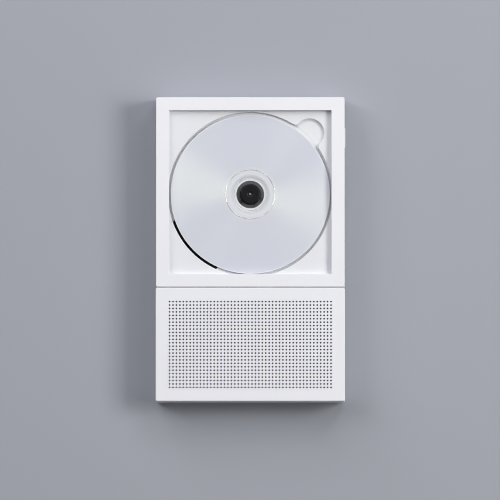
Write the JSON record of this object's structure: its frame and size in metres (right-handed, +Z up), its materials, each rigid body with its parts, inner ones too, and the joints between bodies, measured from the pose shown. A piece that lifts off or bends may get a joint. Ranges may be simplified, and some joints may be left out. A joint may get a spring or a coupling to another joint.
{
  "type": "wall mounted disc player",
  "caption": "White wall mounted disc player with an open disc well in a square frame, over a speaker module with a punched grille, hung on a steel wall plate.",
  "frame": {"origin": "centre of the wall plate's four screw holes, on the wall's surface", "axes": "+Y points into the wall, so the front faces -Y; +Z is up; +X is right as seen from the front"},
  "size_m": [0.1428, 0.026, 0.2294],
  "materials": {
    "white_shell": "fine matte moulded plastic",
    "white_tray": "satin moulded plastic",
    "white_key": "satin moulded plastic",
    "plate_steel": "zinc plated sheet steel",
    "screw_steel": "plated steel screws",
    "pad_rubber": "soft rubber",
    "disc_clear": "clear polycarbonate",
    "disc_silver": "silver metal layer under lacquer",
    "black_plastic": "black moulded plastic",
    "gloss_black": "glossy black plastic",
    "turntable_grey": "pale grey plastic",
    "ball_steel": "polished steel",
    "shaft_steel": "ground steel",
    "bronze": "sintered bronze",
    "motor_can": "drawn steel can",
    "magnet": "nickel plated magnet",
    "lens_glass": "coated lens",
    "gear_acetal": "natural acetal",
    "pinion_brass": "machined brass",
    "board_green": "solder mask on glass fibre board",
    "chip_black": "moulded packages",
    "socket_metal": "stamped steel",
    "battery_wrap": "shrink wrapped pouch",
    "cloth_black": "woven acoustic cloth",
    "cone_paper": "pressed paper pulp",
    "speaker_steel": "black painted steel",
    "film_black": "black film"
  },
  "bodies": {
    "bracket": {"wall_bracket": "plate_steel"},
    "player": {"player_front": "white_shell", "disc_tray": "white_tray", "player_rear_cover": "white_shell", "case_screws": "screw_steel", "wall_pads": "pad_rubber", "spindle_bearing": "bronze", "spindle_motor": "motor_can", "deck_chassis": "black_plastic", "deck_dampers": "pad_rubber", "deck_screws": "screw_steel", "guide_rods": "shaft_steel", "gear_post": "shaft_steel", "sled_motor": "motor_can", "light_shield": "film_black", "main_board": "board_green", "board_chips": "chip_black", "board_screws": "screw_steel", "usb_socket": "socket_metal", "audio_jack": "gloss_black", "battery_pack": "battery_wrap", "key_switches": "gloss_black", "rocker_switches": "gloss_black", "rocker_pin": "shaft_steel", "dock_socket": "gloss_black", "dock_plug": "gloss_black", "joining_plates": "plate_steel", "grille_left": "white_shell", "grille_right": "white_shell", "grille_cloth": "cloth_black", "speaker_casing": "white_shell", "speaker_baffle": "black_plastic", "speaker_rear_cover": "white_shell", "driver_baskets": "speaker_steel", "driver_motors": "magnet", "driver_surrounds": "pad_rubber", "amp_board": "board_green"},
    "spindle": {"turntable": "turntable_grey", "turntable_mat": "pad_rubber", "chuck_hub": "black_plastic", "spindle_shaft": "shaft_steel"},
    "disc": {"disc_plate": "disc_clear", "disc_metal_layer": "disc_silver"},
    "chuck_ball_1": {"chuck_ball_1": "ball_steel"},
    "chuck_ball_2": {"chuck_ball_2": "ball_steel"},
    "chuck_ball_3": {"chuck_ball_3": "ball_steel"},
    "sled": {"pickup_sled": "black_plastic", "actuator_base": "socket_metal", "actuator_magnets": "magnet", "sled_rack": "gear_acetal"},
    "lens": {"lens_holder": "gloss_black", "objective_lens": "lens_glass"},
    "feed_gear": {"feed_gear": "gear_acetal"},
    "motor_pinion": {"motor_pinion": "pinion_brass"},
    "play_key": {"play_key": "white_key"},
    "skip_back_key": {"skip_back_key": "white_key"},
    "skip_forward_key": {"skip_forward_key": "white_key"},
    "volume_rocker": {"volume_rocker": "white_key"},
    "cone_left": {"cone_left": "cone_paper"},
    "cone_right": {"cone_right": "cone_paper"}
  },
  "joints": [
    {"name": "hang_lift", "type": "slide", "parent": "bracket", "child": "player", "axis": [0, 0, 1], "range_m": [0, 0.008]},
    {"name": "turntable_spin", "type": "hinge", "parent": "player", "child": "spindle", "pos_m": [0, -0.02, 0.0415], "axis": [0, -1, 0], "continuous": true},
    {"name": "disc_pull", "type": "slide", "parent": "spindle", "child": "disc", "axis": [0, -1, 0], "range_m": [0, 0.03]},
    {"name": "spring_ball_1", "type": "slide", "parent": "spindle", "child": "chuck_ball_1", "axis": [0, 0, -1], "range_m": [0, 0.0004], "stiffness_N_per_m": 800, "springref_m": -0.0003},
    {"name": "spring_ball_2", "type": "slide", "parent": "spindle", "child": "chuck_ball_2", "axis": [0.866, 0, 0.5], "range_m": [0, 0.0004], "stiffness_N_per_m": 800, "springref_m": -0.0003},
    {"name": "spring_ball_3", "type": "slide", "parent": "spindle", "child": "chuck_ball_3", "axis": [-0.866, 0, 0.5], "range_m": [0, 0.0004], "stiffness_N_per_m": 800, "springref_m": -0.0003},
    {"name": "pickup_travel", "type": "slide", "parent": "player", "child": "sled", "axis": [-0.7071, 0, -0.7071], "range_m": [0, 0.035]},
    {"name": "lens_focus", "type": "slide", "parent": "sled", "child": "lens", "axis": [0, -1, 0], "range_m": [-0.0005, 0.0005], "stiffness_N_per_m": 60},
    {"name": "feed_gear_turn", "type": "hinge", "parent": "player", "child": "feed_gear", "pos_m": [-0.00253, -0.0085, 0.00259], "axis": [0, 1, 0], "range_deg": [-590, 10]},
    {"name": "pinion_turn", "type": "hinge", "parent": "player", "child": "motor_pinion", "pos_m": [0.0094, -0.008, 0.00406], "axis": [0, 1, 0], "range_deg": [-30, 1750]},
    {"name": "key_play", "type": "slide", "parent": "player", "child": "play_key", "axis": [0, 0, -1], "range_m": [0, 0.0005], "stiffness_N_per_m": 1200, "springref_m": -0.0003},
    {"name": "key_skip_back", "type": "slide", "parent": "player", "child": "skip_back_key", "axis": [0, 0, -1], "range_m": [0, 0.0005], "stiffness_N_per_m": 1200, "springref_m": -0.0003},
    {"name": "key_skip_forward", "type": "slide", "parent": "player", "child": "skip_forward_key", "axis": [0, 0, -1], "range_m": [0, 0.0005], "stiffness_N_per_m": 1200, "springref_m": -0.0003},
    {"name": "rocker_tilt", "type": "hinge", "parent": "player", "child": "volume_rocker", "pos_m": [0.0674, -0.011, 0.08485], "axis": [0, 1, 0], "range_deg": [-2.5, 2.5], "stiffness_Nm_per_rad": 0.15},
    {"name": "speaker_cone_left", "type": "slide", "parent": "player", "child": "cone_left", "axis": [0, -1, 0], "range_m": [-0.001, 0.001], "stiffness_N_per_m": 1500},
    {"name": "speaker_cone_right", "type": "slide", "parent": "player", "child": "cone_right", "axis": [0, -1, 0], "range_m": [-0.001, 0.001], "stiffness_N_per_m": 1500}
  ],
  "couplings": [
    {"joint": "feed_gear_turn", "follows": "pickup_travel", "rad_per_m": -285.71},
    {"joint": "pinion_turn", "follows": "pickup_travel", "rad_per_m": 857.14}
  ]
}
